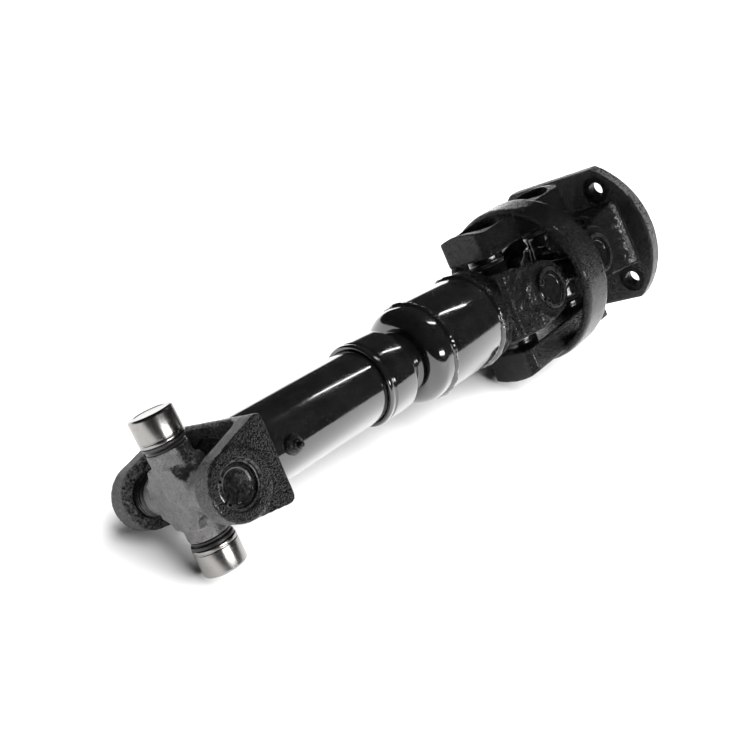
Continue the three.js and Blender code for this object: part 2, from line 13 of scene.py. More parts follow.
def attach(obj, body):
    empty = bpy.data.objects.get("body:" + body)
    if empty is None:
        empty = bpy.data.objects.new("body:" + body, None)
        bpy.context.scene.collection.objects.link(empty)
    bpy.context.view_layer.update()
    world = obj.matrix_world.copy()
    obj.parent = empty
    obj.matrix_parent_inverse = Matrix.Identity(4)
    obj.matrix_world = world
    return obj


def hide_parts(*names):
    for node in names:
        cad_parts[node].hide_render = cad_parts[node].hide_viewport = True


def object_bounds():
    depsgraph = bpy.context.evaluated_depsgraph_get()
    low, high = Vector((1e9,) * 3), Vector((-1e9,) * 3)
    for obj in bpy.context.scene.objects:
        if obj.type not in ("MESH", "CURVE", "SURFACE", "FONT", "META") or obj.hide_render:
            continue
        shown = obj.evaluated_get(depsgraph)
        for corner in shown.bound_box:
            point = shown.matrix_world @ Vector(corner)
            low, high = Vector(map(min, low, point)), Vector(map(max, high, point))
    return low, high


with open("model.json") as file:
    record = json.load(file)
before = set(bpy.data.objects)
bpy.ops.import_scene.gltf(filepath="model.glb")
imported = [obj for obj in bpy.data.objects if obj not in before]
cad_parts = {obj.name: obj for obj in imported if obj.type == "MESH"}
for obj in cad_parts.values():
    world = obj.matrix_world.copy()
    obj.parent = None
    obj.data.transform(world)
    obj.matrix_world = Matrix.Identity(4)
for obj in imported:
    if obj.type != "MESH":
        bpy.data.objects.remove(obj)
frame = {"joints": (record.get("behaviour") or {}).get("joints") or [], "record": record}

CAD_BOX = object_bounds()
MM = 0.001

# ---- frames of the mechanism, from the record ---------------------------------------------------
JOINTS = {joint["name"]: joint for joint in frame["joints"]}
MOUNTS = {mount["name"]: mount for mount in frame["record"]["mounts"]}


def axes_at(origin, x_axis=None, y_axis=None, z_axis=None):
    """A right-handed frame in millimetres from two of its axes."""
    x = None if x_axis is None else Vector(x_axis).normalized()
    y = None if y_axis is None else Vector(y_axis).normalized()
    z = None if z_axis is None else Vector(z_axis).normalized()
    if x is None:
        x = y.cross(z).normalized()
    if z is None:
        z = x.cross(y).normalized()
    y = z.cross(x).normalized()
    place = Matrix((x, y, z)).transposed().to_4x4()
    place.translation = Vector(origin)
    return place


HELD_AXIS = JOINTS["near_cross_swing"]["axis"]
SHAFT_AXIS = -Vector(JOINTS["slip_slide"]["axis"])
NEAR = JOINTS["near_cross_swing"]["pos_m"]
POS_A = JOINTS["joint_pitch_a"]["pos_m"]
POS_B = JOINTS["joint_pitch_b"]["pos_m"]

SHAFT = axes_at(NEAR, x_axis=SHAFT_AXIS, y_axis=HELD_AXIS)
NEAR_CROSS = axes_at(NEAR, y_axis=HELD_AXIS, z_axis=JOINTS["near_cup_top_spin"]["axis"])
WELD_YOKE = axes_at(POS_A, x_axis=SHAFT_AXIS, y_axis=HELD_AXIS)
CROSS_A = axes_at(POS_A, y_axis=HELD_AXIS, z_axis=JOINTS["joint_yaw_a"]["axis"])
CROSS_B = axes_at(POS_B, y_axis=HELD_AXIS, z_axis=JOINTS["joint_yaw_b"]["axis"])
FLANGE = axes_at(POS_B, x_axis=MOUNTS["flange_face"]["axis"], y_axis=HELD_AXIS)

# ---- sizes in millimetres -----------------------------------------------------------------------
STATION_A = (Vector(POS_A) - Vector(NEAR)).length / MM     # near cross to first cross
SPAN = (Vector(POS_B) - Vector(POS_A)).length / MM         # first cross to second cross
FACE = ((Vector(MOUNTS["flange_face"]["pos_m"]) - Vector(POS_B)).dot(FLANGE.to_3x3().col[0])) / MM

CUP_R, CUP_LENGTH, CUP_FREE_LENGTH = 13.5, 16.0, 17.3
CUP_SEATED, CUP_FREE = 46.0, 49.2
CUP_INNER_R = 12.1
TRUNNION_R, TRUNNION_END = 9.5, 43.4
SHOULDER_R, SHOULDER_END = 12.5, 27.2
HUB_HALF = 12.0
EAR_IN, EAR_OUT, BOSS_OUT, EAR_R = 36.3, 48.0, 49.5, 20.5
SHANK_OUT, SKIRT = 44.5, 3.5
BORE_R, CLIP_R, CLIP_INNER_R, CLIP_THICK, CLIP_GROOVE_R = 13.8, 14.9, 12.4, 1.4, 15.2
FORK_FLOOR, FORK_BACK, FORK_TOP, FORK_BOTTOM, FORK_CORNER = 25.0, 31.0, 29.3, -24.6, 4.0
BARREL_R, BARREL_END, PLUG_R = 25.4, 163.0, 21.0
CAP_START, CAP_END, CAP_R = 145.0, 174.0, 28.6
JOURNAL_R = 18.8
DOME_START, RIM_START = 187.5, 199.0
TUBE_R, TUBE_WALL, TUBE_START, TUBE_END, WELD = 34.0, 3.0, 208.5, 261.0, 3.0
SEAT_END, SHANK_HALF = 279.0, 25.0
RING_R, RING_INNER_R, RING_HALF = 61.5, 55.5, 14.5
ARM_HALF, ARM_OUTER_R, ARM_REACH, ARM_RECESS_R = 21.5, 58.5, 21.5, 19.2
BRIDGE_NEAR, BRIDGE_FAR, BALL_R, SOCKET_R, SOCKET_INNER_R = 16.0, 21.0, 8.0, 12.0, 9.0
FLANGE_FLOOR, FLANGE_BASE_HALF = 26.0, 26.0
FLANGE_R, FLANGE_FLAT, FLANGE_THICK = 68.0, 55.0, 10.0
BOLT_OFFSET, BOLT_R, SPOT_R, PILOT_R, PILOT_DEPTH = 38.2, 5.75, 10.5, 35.0, 2.5

BLANK_HALF_HEIGHT, BLANK_HALF_WIDTH = 60.0, 70.0           # blanks that the yokes are cut from

# ---- mesh helpers -------------------------------------------------------------------------------
SMOOTH_ANGLE = math.radians(32)


def mesh_object(name, vertices, faces):
    mesh = bpy.data.meshes.new(name)
    mesh.from_pydata([tuple(v) for v in vertices], [], faces)
    mesh.validate()
    obj = bpy.data.objects.new(name, mesh)
    bpy.context.scene.collection.objects.link(obj)
    bm = bmesh.new()
    bm.from_mesh(mesh)
    bmesh.ops.remove_doubles(bm, verts=bm.verts, dist=1e-5)
    bmesh.ops.recalc_face_normals(bm, faces=bm.faces)
    bm.to_mesh(mesh)
    bm.free()
    return obj


TURN = {
    "x": lambda along, a, b: (along, a, b),
    "y": lambda along, a, b: (b, along, a),
    "z": lambda along, a, b: (a, b, along),
}


def turned(name, profile, axis="x", segments=96, ripple=None):
    """A turned piece. The profile lists (radius, distance along the axis) and closes on itself."""
    vertices = []
    count = len(profile)
    for step in range(segments):
        angle = 2 * math.pi * step / segments
        for index, (radius, along) in enumerate(profile):
            if ripple is not None:
                radius, along = ripple(radius, along, angle)
            vertices.append(TURN[axis](along, radius * math.cos(angle), radius * math.sin(angle)))
    faces = []
    for step in range(segments):
        here = step * count
        there = (step + 1) % segments * count
        for index in range(count):
            after = (index + 1) % count
            if profile[index][0] < 1e-6 and profile[after][0] < 1e-6:
                continue
            faces.append((here + index, here + after, there + after, there + index))
    return mesh_object(name, vertices, faces)


def rounded(points, radius=0.6, steps=3):
    """Rounds each corner of a profile that isn't on the axis."""
    result = []
    count = len(points)
    for index, corner in enumerate(points):
        size = corner[2] if len(corner) > 2 else radius
        here = Vector(corner[:2])
        before = Vector(points[index - 1][:2]) - here
        after = Vector(points[(index + 1) % count][:2]) - here
        reach = min(size, before.length * 0.45, after.length * 0.45)
        straight = before.length < 1e-6 or after.length < 1e-6 or before.angle(-after, 0.0) < 0.05
        if here.x < 1e-6 or reach < 0.02 or straight:
            result.append((here.x, here.y))
            continue
        start = here + before.normalized() * reach
        end = here + after.normalized() * reach
        for step in range(steps + 1):
            t = step / steps
            point = start.lerp(here, t).lerp(here.lerp(end, t), t)
            result.append((point.x, point.y))
    return result


def rod(radius, low, high, axis="x", segments=96, chamfer=0.0):
    if chamfer:
        profile = [(0, low), (radius - chamfer, low), (radius, low + chamfer), (radius, high - chamfer),
                   (radius - chamfer, high), (0, high)]
    else:
        profile = [(0, low), (radius, low), (radius, high), (0, high)]
    return turned("rod", profile, axis, segments)


PLANES = {
    "xy": lambda a, b, c: (a, b, c),
    "xz": lambda a, b, c: (a, c, b),
    "yz": lambda a, b, c: (c, a, b),
}


def prism(points, low, high, plane="xy"):
    """A flat outline given a thickness from low to high across its plane."""
    count = len(points)
    place = PLANES[plane]
    vertices = [place(x, y, low) for x, y in points] + [place(x, y, high) for x, y in points]
    faces = [tuple(range(count)), tuple(range(2 * count - 1, count - 1, -1))]
    faces += [(i, (i + 1) % count, count + (i + 1) % count, count + i) for i in range(count)]
    return mesh_object("prism", vertices, faces)


def arc(radius, start, end, steps):
    angles = [start + (end - start) * i / steps for i in range(steps + 1)]
    return [(radius * math.cos(angle), radius * math.sin(angle)) for angle in angles]


def modified(obj, kind, **values):
    """Adds one modifier and applies it."""
    modifier = obj.modifiers.new(kind.lower(), kind)
    for key, value in values.items():
        setattr(modifier, key, value)
    bpy.context.view_layer.update()
    graph = bpy.context.evaluated_depsgraph_get()
    mesh = bpy.data.meshes.new_from_object(obj.evaluated_get(graph))
    obj.modifiers.clear()
    old = obj.data
    obj.data = mesh
    bpy.data.meshes.remove(old)
    return obj


def combined(first, others, operation):
    for other in others:
        modified(first, "BOOLEAN", operation=operation, object=other, solver="EXACT")
        bpy.data.objects.remove(other)
    return first


def fused(first, *others):
    return combined(first, others, "UNION")


def carved(first, *others):
    return combined(first, others, "DIFFERENCE")


def common(first, *others):
    return combined(first, others, "INTERSECT")


def joined(first, *others):
    """One mesh that holds several overlapping bodies, ready for casting."""
    bm = bmesh.new()
    for obj in (first,) + others:
        bm.from_mesh(obj.data)
    bm.to_mesh(first.data)
    bm.free()
    for obj in others:
        bpy.data.objects.remove(obj)
    return first


def cast_noise(point, coarse, fine):
    low = noise.noise(point * 0.10) + 0.5 * noise.noise(point * 0.24)
    high = noise.noise(point * 0.52) + 0.5 * noise.noise(point * 0.83)
    return coarse * low + fine * high


def casting(obj, voxel=0.8, smooth=5, coarse=0.12, fine=0.022):
    """Melts sharp corners into the fillets of a casting, and gives it an uneven skin."""
    modified(obj, "REMESH", mode="VOXEL", voxel_size=voxel, adaptivity=0.0)
    modified(obj, "SMOOTH", factor=0.5, iterations=smooth)
    bm = bmesh.new()
    bm.from_mesh(obj.data)
    bm.normal_update()
    for vertex in bm.verts:
        vertex.co += vertex.normal * cast_noise(vertex.co, coarse, fine)
    bm.to_mesh(obj.data)
    bm.free()
    return obj


def bore_cutter(radius, low, high, axis, flip=False):
    """A bore with a chamfered mouth at its outer end."""
    chamfer = 1.0
    mouth, beyond = radius + chamfer, high + 15
    profile = [(0, low), (radius, low), (radius, high - chamfer), (mouth, high), (mouth, beyond), (0, beyond)]
    if flip:
        profile = [(r, -z) for r, z in reversed(profile)]
    return turned("cutter", profile, axis, 72)


def groove_cutter(low, high, axis):
    return turned("cutter", [(10, low), (CLIP_GROOVE_R, low), (CLIP_GROOVE_R, high), (10, high)], axis, 72)


def ear_cutters(axis="y"):
    """The two bores of a pair of ears, each with its snap ring groove."""
    low = CUP_SEATED + 0.1
    high = low + CLIP_THICK + 0.5
    start = 20
    return [bore_cutter(BORE_R, start, BOSS_OUT, axis), bore_cutter(BORE_R, start, BOSS_OUT, axis, flip=True),
            groove_cutter(low, high, axis), groove_cutter(-high, -low, axis)]


# ---- materials ----------------------------------------------------------------------------------
def new_material(name, color, roughness, metallic=0.0, **sockets):
    material = bpy.data.materials.new(name)
    material.use_nodes = True
    shader = material.node_tree.nodes["Principled BSDF"]
    shader.inputs["Base Color"].default_value = (*color, 1)
    shader.inputs["Roughness"].default_value = roughness
    shader.inputs["Metallic"].default_value = metallic
    for key, value in sockets.items():
        shader.inputs[key.replace("_", " ")].default_value = value
    return material, material.node_tree, shader


def noise_node(tree, scale, detail=4.0, rough=0.55, stretch=(1, 1, 1)):
    """Noise over the piece's own coordinates, which are in metres."""
    coordinates = tree.nodes.new("ShaderNodeTexCoord")
    mapping = tree.nodes.new("ShaderNodeMapping")
    mapping.inputs["Scale"].default_value = stretch
    texture = tree.nodes.new("ShaderNodeTexNoise")
    texture.inputs["Scale"].default_value = scale
    texture.inputs["Detail"].default_value = detail
    texture.inputs["Roughness"].default_value = rough
    tree.links.new(coordinates.outputs["Object"], mapping.inputs["Vector"])
    tree.links.new(mapping.outputs["Vector"], texture.inputs["Vector"])
    return texture.outputs["Fac"]


def ramp(tree, value, low, high, start=0.0, end=1.0):
    node = tree.nodes.new("ShaderNodeMapRange")
    node.inputs["From Min"].default_value = low
    node.inputs["From Max"].default_value = high
    node.inputs["To Min"].default_value = start
    node.inputs["To Max"].default_value = end
    tree.links.new(value, node.inputs["Value"])
    return node.outputs["Result"]


def mixed_color(tree, factor, first, second):
    node = tree.nodes.new("ShaderNodeMix")
    node.data_type = "RGBA"
    tree.links.new(factor, node.inputs[0])
    for socket, value in ((node.inputs[6], first), (node.inputs[7], second)):
        if isinstance(value, tuple):
            socket.default_value = (*value, 1)
        else:
            tree.links.new(value, socket)
    return node.outputs[2]


def bump(tree, shader, height, strength, distance, before=None):
    node = tree.nodes.new("ShaderNodeBump")
    node.inputs["Strength"].default_value = strength
    node.inputs["Distance"].default_value = distance
    tree.links.new(height, node.inputs["Height"])
    if before is not None:
        tree.links.new(before, node.inputs["Normal"])
    tree.links.new(node.outputs["Normal"], shader.inputs["Normal"])
    return node.outputs["Normal"]


def math_node(tree, operation, first, second):
    node = tree.nodes.new("ShaderNodeMath")
    node.operation = operation
    for socket, value in zip(node.inputs, (first, second)):
        if isinstance(value, (int, float)):
            socket.default_value = value
        else:
            tree.links.new(value, socket)
    return node.outputs[0]


def attribute(tree, name):
    node = tree.nodes.new("ShaderNodeAttribute")
    node.attribute_name = name
    return node.outputs["Fac"]


def coat(shader, weight=1.0, roughness=0.05):
    shader.inputs["Coat Weight"].default_value = weight
    shader.inputs["Coat Roughness"].default_value = roughness


def gloss_paint():
    """Smooth gloss black paint: faint orange peel, a few dust nibs, slightly duller patches."""
    material, tree, shader = new_material("gloss_black_paint", (0.003, 0.003, 0.003), 0.09)
    coat(shader)
    patches = noise_node(tree, 45, 5)
    tree.links.new(ramp(tree, patches, 0.35, 0.7, 0.08, 0.22), shader.inputs["Roughness"])
    tint = mixed_color(tree, ramp(tree, noise_node(tree, 120, 3), 0.3, 0.8), (0.002, 0.002, 0.002),
                       (0.005, 0.005, 0.005))
    tree.links.new(tint, shader.inputs["Base Color"])
    peel = bump(tree, shader, noise_node(tree, 380, 2), 0.12, 0.0006)
    nibs = ramp(tree, noise_node(tree, 900, 1), 0.72, 0.78)
    bump(tree, shader, nibs, 0.3, 0.0005, peel)
    return material


def cast_paint():
    """Gloss black over a rough casting. The dry attribute marks grey overspray on near edges."""
    material, tree, shader = new_material("cast_black_paint", (0.003, 0.003, 0.003), 0.1,
                                          Specular_IOR_Level=0.28)
    grain = noise_node(tree, 620, 5, 0.6)
    lumps = noise_node(tree, 240, 4, 0.55)
    edge = math_node(tree, "ADD", attribute(tree, "dry"), ramp(tree, grain, 0.3, 0.7, -0.3, 0.3))
    edge = math_node(tree, "ADD", edge, ramp(tree, lumps, 0.3, 0.7, -0.15, 0.15))
    mask = ramp(tree, edge, 0.45, 0.95)
    black = mixed_color(tree, ramp(tree, grain, 0.3, 0.7), (0.001, 0.001, 0.001), (0.003, 0.003, 0.003))
    grey = mixed_color(tree, ramp(tree, grain, 0.3, 0.7), (0.018, 0.018, 0.018), (0.10, 0.10, 0.098))
    tree.links.new(mixed_color(tree, mask, black, grey), shader.inputs["Base Color"])
    rough = math_node(tree, "ADD", ramp(tree, lumps, 0.3, 0.7, 0.08, 0.16), ramp(tree, mask, 0, 1, 0, 0.4))
    tree.links.new(rough, shader.inputs["Roughness"])
    pimples = ramp(tree, noise_node(tree, 1000, 3, 0.65), 0.48, 0.72)
    broad = bump(tree, shader, noise_node(tree, 170, 3), 0.3, 0.0008)
    bump(tree, shader, pimples, 1.0, 0.0005, broad)
    return material


def painted_steel():
    """Turned and forged pieces that were sprayed black together with their yoke."""
    material, tree, shader = new_material("painted_steel", (0.003, 0.003, 0.003), 0.15)
    coat(shader, 0.3, 0.08)
    grain = noise_node(tree, 420, 4)
    tree.links.new(ramp(tree, grain, 0.3, 0.7, 0.1, 0.24), shader.inputs["Roughness"])
    tint = mixed_color(tree, ramp(tree, grain, 0.4, 0.75), (0.0015, 0.0015, 0.0015), (0.006, 0.006, 0.006))
    tree.links.new(tint, shader.inputs["Base Color"])
    skin = bump(tree, shader, grain, 0.25, 0.0005)
    tree.links.new(skin, shader.inputs["Coat Normal"])
    return material


def raw_forging():
    """Bare forged steel: matte grey, mottled. The painted attribute marks where black spray reached it."""
    material, tree, shader = new_material("raw_forging", (0.15, 0.148, 0.145), 0.6, 0.2)
    mottle = noise_node(tree, 110, 6, 0.6)
    grain = noise_node(tree, 900, 4, 0.6)
    light = mixed_color(tree, ramp(tree, mottle, 0.3, 0.72), (0.085, 0.084, 0.082), (0.18, 0.178, 0.175))
    speck = mixed_color(tree, ramp(tree, grain, 0.52, 0.66, 0, 0.7), light, (0.035, 0.035, 0.035))
    edge = math_node(tree, "ADD", attribute(tree, "painted"), ramp(tree, grain, 0.3, 0.7, -0.3, 0.3))
    edge = math_node(tree, "ADD", edge, ramp(tree, mottle, 0.3, 0.7, -0.2, 0.2))
    mask = ramp(tree, edge, 0.3, 1.0)
    tree.links.new(mixed_color(tree, mask, speck, (0.006, 0.006, 0.006)), shader.inputs["Base Color"])
    rough = math_node(tree, "SUBTRACT", ramp(tree, mottle, 0.3, 0.7, 0.5, 0.68), ramp(tree, mask, 0, 1, 0, 0.28))
    tree.links.new(rough, shader.inputs["Roughness"])
    coarse = bump(tree, shader, mottle, 0.4, 0.0012)
    bump(tree, shader, grain, 0.45, 0.0006, coarse)
    return material


def machined_steel():
    """Ground bright steel: fine turned rings round the cup and faint wear marks."""
    material, tree, shader = new_material("machined_steel", (0.45, 0.44, 0.43), 0.22, 1.0)
    rings = noise_node(tree, 60, 3, 0.5, stretch=(1, 60, 60))
    tree.links.new(ramp(tree, rings, 0.3, 0.7, 0.2, 0.28), shader.inputs["Roughness"])
    marks = noise_node(tree, 300, 4)
    tint = mixed_color(tree, ramp(tree, marks, 0.55, 0.75), (0.235, 0.228, 0.22), (0.19, 0.184, 0.178))
    tree.links.new(tint, shader.inputs["Base Color"])
    bump(tree, shader, rings, 0.06, 0.0002)
    return material


def rubber():
    material, tree, shader = new_material("seal_rubber", (0.006, 0.006, 0.006), 0.4)
    grain = noise_node(tree, 700, 4)
    tree.links.new(ramp(tree, grain, 0.3, 0.7, 0.28, 0.5), shader.inputs["Roughness"])
    bump(tree, shader, grain, 0.2, 0.0004)
    return material


def spring_steel():
    material, tree, shader = new_material("spring_steel", (0.03, 0.03, 0.03), 0.35, 0.8)
    grain = noise_node(tree, 500, 4)
    tint = mixed_color(tree, ramp(tree, grain, 0.35, 0.7), (0.015, 0.015, 0.015), (0.06, 0.06, 0.06))
    tree.links.new(tint, shader.inputs["Base Color"])
    tree.links.new(ramp(tree, grain, 0.3, 0.7, 0.2, 0.42), shader.inputs["Roughness"])
    return material


FINISH = {
    "gloss_black": gloss_paint(),
    "cast_black": cast_paint(),
    "raw_forging": raw_forging(),
    "machined_steel": machined_steel(),
    "seal_rubber": rubber(),
    "spring_steel": spring_steel(),
    "painted_steel": painted_steel(),
}


def within_box(point):
    """Flattens the unevenness of a casting where the shaft rests on the ground or touches its outer limits."""
    low, high = CAD_BOX
    return [min(max(value, a), b) for value, a, b in zip(point, low, high)]


def install(obj, name, place, body, slot, *nodes, look=None):
    """Puts a finished piece, drawn in millimetres, into the row frame and onto its body."""
    obj.name = name
    obj.data.name = name
    obj.data.transform(Matrix.Scale(MM, 4))
    bm = bmesh.new()
    bm.from_mesh(obj.data)
    for face in bm.faces:
        face.smooth = True
    for edge in bm.edges:
        edge.smooth = not (len(edge.link_faces) == 2 and edge.calc_face_angle(0.0) > SMOOTH_ANGLE)
    bm.to_mesh(obj.data)
    bm.free()
    obj.data.transform(place)
    for vertex in obj.data.vertices:
        vertex.co = within_box(vertex.co)
    obj.data.materials.clear()
    obj.data.materials.append(FINISH[look or slot])
    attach(obj, body)
    if nodes:
        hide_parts(*nodes)
    return obj


def shaded(obj, attribute_name, place, strength):
    """Stores a strength from 0 to 1 at each point, as a function of its position and normal where it was
    drawn, in metres."""
    mesh = obj.data
    layer = mesh.attributes.new(attribute_name, "FLOAT", "POINT")
    back = place.inverted()
    turn = back.to_3x3()
    values = [max(0.0, min(1.0, strength(back @ v.co, turn @ v.normal))) for v in mesh.vertices]
    layer.data.foreach_set("value", values)


# ---- crosses and bearings -----------------------------------------------------------------------
def spider():
    """A forged cross: rounded hub, four shouldered arms, ground trunnions."""
    arm = SHOULDER_R
    corner = 19.0
    points = []
    for quarter in range(4):
        turn = quarter * math.pi / 2
        side = [(corner, -arm + 1.5), (corner, arm - 1.5)]
        for step in range(1, 7):
            t = step / 7
            u = 1 - t
            side.append((u * u * corner + 2 * u * t * arm + t * t * (arm - 1.5),
                         u * u * (arm - 1.5) + 2 * u * t * arm + t * t * corner))
        points += [(x * math.cos(turn) - y * math.sin(turn), x * math.sin(turn) + y * math.cos(turn))
                   for x, y in side]
    hub = prism(points, -HUB_HALF, HUB_HALF, "yz")
    arms = []
    for axis in "yz":
        arms.append(turned("arm", [(0, -SHOULDER_END), (SHOULDER_R, -SHOULDER_END), (SHOULDER_R, -20),
                                   (SHOULDER_R + 0.6, -12), (SHOULDER_R + 0.6, 12), (SHOULDER_R, 20),
                                   (SHOULDER_R, SHOULDER_END), (0, SHOULDER_END)], axis))
    body = casting(joined(hub, *arms), voxel=0.8, smooth=4, coarse=0.10, fine=0.02)
    trunnion = rounded([(0, -TRUNNION_END), (TRUNNION_R, -TRUNNION_END), (TRUNNION_R, TRUNNION_END),
                        (0, TRUNNION_END)], 1.0)
    return fused(body, turned("trunnion", trunnion, "y", 48), turned("trunnion", trunnion, "z", 48))


ARM_TURN = {"left": 0.0, "top": math.pi / 2, "right": math.pi, "bottom": -math.pi / 2}


def cup_profile(end, length):
    rim = end - length
    floor = end - 2.2
    return rounded([
        (0, floor), (CUP_INNER_R, floor, 0.5), (CUP_INNER_R, rim + 1.0, 0.3), (CUP_INNER_R + 0.5, rim, 0.2),
        (CUP_R - 0.5, rim, 0.3), (CUP_R, rim + 0.5, 0.2), (CUP_R, rim + 1.9, 0.1), (CUP_R - 0.35, rim + 2.2, 0.1),
        (CUP_R - 0.35, rim + 2.8, 0.1), (CUP_R, rim + 3.1, 0.1), (CUP_R, end - 1.1, 0.5),
        (CUP_R - 1.1, end, 0.5), (CUP_R - 4.0, end, 0.2), (CUP_R - 4.4, end - 0.3, 0.2), (0, end - 0.3),
    ])


def seal_profile(end, length):
    low = SHOULDER_END + 0.3
    high = end - length - 0.3
    inner = 10.7
    lip = (low + high) / 2
    if high - low < 2.5:
        return rounded([(inner, low), (12.0, low), (13.0, high), (inner, high)], 0.3)
    return rounded([
        (inner, low), (11.9, low, 0.3), (12.1, low + 0.8, 0.2), (11.6, lip - 0.2, 0.2), (12.9, lip + 0.4, 0.2),
        (13.1, high, 0.2), (inner, high),
    ], 0.3)


def snap_ring_mesh():
    """A flat spring clip, open at one side, with an eye at each end."""
    gap = math.radians(24)
    ear = math.radians(20)
    low = CUP_SEATED + 0.3
    eye = CLIP_INNER_R - 2.4
    points = arc(CLIP_R, gap, 2 * math.pi - gap, 72)
    points += arc(eye, 2 * math.pi - gap, 2 * math.pi - gap - ear, 5)
    points += arc(CLIP_INNER_R, 2 * math.pi - gap - ear * 1.25, gap + ear * 1.25, 64)
    points += arc(eye, gap + ear, gap, 5)
    ring = prism(points, low, low + CLIP_THICK, "xz")
    ring = modified(ring, "BEVEL", width=0.25, segments=2, limit_method="ANGLE", angle_limit=math.radians(50))
    ring.data.transform(Matrix.Rotation(math.pi, 4, "Y"))
    holes = []
    for side in (1, -1):
        middle = side * (gap + ear / 2)
        hole = rod(1.0, low - 1, low + CLIP_THICK + 1, "y", 20)
        reach = CLIP_INNER_R - 0.4
        hole.data.transform(Matrix.Translation((-reach * math.cos(middle), 0, reach * math.sin(middle))))
        holes.append(hole)
    return carved(ring, *holes)


def turn_onto(obj, arm):
    obj.data.transform(Matrix.Rotation(ARM_TURN[arm], 4, "X"))
    return obj


def bearing(joint, arm, place, body, end=CUP_SEATED, clipped=True, rollers=False):
    length = CUP_FREE_LENGTH if end == CUP_FREE else CUP_LENGTH
    cup = turn_onto(turned("cup", cup_profile(end, length), "y", 96), arm)
    slot, look = ("machined_steel", None) if end == CUP_FREE else ("cast_black", "painted_steel")
    install(cup, f"{joint}_bearing_cup_{arm}", place, body, slot, f"{joint}_cup_{arm}", look=look)
    seal = turn_onto(turned("seal", seal_profile(end, length), "y", 72), arm)
    install(seal, f"{joint}_rubber_seal_{arm}", place, body, "seal_rubber", f"{joint}_seal_{arm}")
    if rollers:
        install(turn_onto(needle_cage(end, length), arm), f"{joint}_needle_rollers_{arm}", place, body,
                "machined_steel", f"{joint}_needles_{arm}")
    if clipped:
        install(turn_onto(snap_ring_mesh(), arm), f"{joint}_clip_{arm}", place, body,
                "spring_steel", f"{joint}_snap_ring_{arm}")


def needle_cage(end, length):
    """A full row of needle rollers round a trunnion."""
    low = end - length + 0.6
    high = TRUNNION_END - 0.4
    radius = 0.95
    centre = 10.8
    count = 34
    rollers = []
    for index in range(count):
        angle = 2 * math.pi * index / count
        roller = turned("needle", rounded([(0, low), (radius, low), (radius, high), (0, high)], 0.3), "y", 8)
        roller.data.transform(Matrix.Translation((centre * math.cos(angle), 0, centre * math.sin(angle))))
        rollers.append(roller)
    return joined(*rollers)


near_cross = install(spider(), "near_cross_forging", NEAR_CROSS, "near_cross", "raw_forging", "near_cross")
shaded(near_cross, "painted", NEAR_CROSS, lambda point, normal: 1.1 + 2.2 * normal.x)
install(spider(), "cross_a_forging", CROSS_A, "cross_a", "cast_black", "cross_a", look="painted_steel")
install(spider(), "cross_b_forging", CROSS_B, "cross_b", "cast_black", "cross_b", look="painted_steel")
for arm in ("top", "bottom"):
    bearing("near", arm, NEAR_CROSS, f"near_cup_{arm}", end=CUP_FREE, clipped=False, rollers=True)
    bearing("joint_a", arm, CROSS_A, "centre_yoke")
    bearing("joint_b", arm, CROSS_B, "centre_yoke")
for arm in ("left", "right"):
    bearing("near", arm, SHAFT, "slip_yoke", rollers=True)
    bearing("joint_a", arm, WELD_YOKE, "tube_shaft")
    bearing("joint_b", arm, FLANGE, "flange_yoke")


# ---- yokes ----------------------------------------------------------------------------------------
def ear_side(corners, flip=False):
    """Side view of an ear: round about its bore, widening along tangents to the yoke's body. The corners
    list the body's side from its bottom front to its top front."""
    touches = [math.atan2(abs(z), x) + math.acos(EAR_R / math.hypot(x, z)) for x, z in (corners[-1], corners[0])]
    points = arc(EAR_R, touches[0], 2 * math.pi - touches[1], 28) + corners
    if flip:
        points = [(-x, z) for x, z in reversed(points)]
    return points


def boss_rods(skirt=0.0):
    """A round boss on the outside of each ear, spreading into a skirt where it meets the shank."""
    low = SHANK_OUT - 3
    steps = 5
    profile = [(0, low), (EAR_R + skirt, low)]
    profile += [(EAR_R + skirt * (1 - math.sin(math.pi / 2 * i / steps)),
                 SHANK_OUT + skirt * (1 - math.cos(math.pi / 2 * i / steps))) for i in range(steps + 1)]
    profile += [(EAR_R, BOSS_OUT), (0, BOSS_OUT)]
    mirrored = [(radius, -along) for radius, along in reversed(profile)]
    return [turned("boss", profile, "y", 72), turned("boss", mirrored, "y", 72)]


def clipped(parts, side):
    """Each part of a yoke, cut to the yoke's side view."""
    return [common(part, prism(side, -BLANK_HALF_WIDTH, BLANK_HALF_WIDTH, "xz")) for part in parts]


def slip_yoke_fork():
    end = EAR_R + 1
    plan = [
        (-end, -EAR_OUT), (FORK_BACK, -EAR_OUT), (FORK_BACK + 5, -BARREL_R + 1), (FORK_BACK + 5, BARREL_R - 1),
        (FORK_BACK, EAR_OUT), (-end, EAR_OUT), (-end, EAR_IN), (18, EAR_IN), (FORK_FLOOR - 2, EAR_IN - 3),
        (FORK_FLOOR, EAR_IN - 8), (FORK_FLOOR, -EAR_IN + 8), (FORK_FLOOR - 2, -EAR_IN + 3), (18, -EAR_IN),
        (-end, -EAR_IN),
    ]
    front, back = FORK_BACK - FORK_CORNER, FORK_BACK + 6
    low, high = FORK_BOTTOM + FORK_CORNER, FORK_TOP - FORK_CORNER
    side = ear_side([(front, FORK_BOTTOM), (front + 2.8, FORK_BOTTOM + 1.2), (FORK_BACK, low), (back, low),
                     (back, high), (FORK_BACK, high), (front + 2.8, FORK_TOP - 1.2), (front, FORK_TOP)])
    fork, = clipped([prism(plan, -BLANK_HALF_HEIGHT, BLANK_HALF_HEIGHT)], side)
    hub = rod(BARREL_R - 0.2, FORK_BACK, FORK_BACK + 12)
    return casting(joined(fork, hub, *boss_rods()), smooth=4)


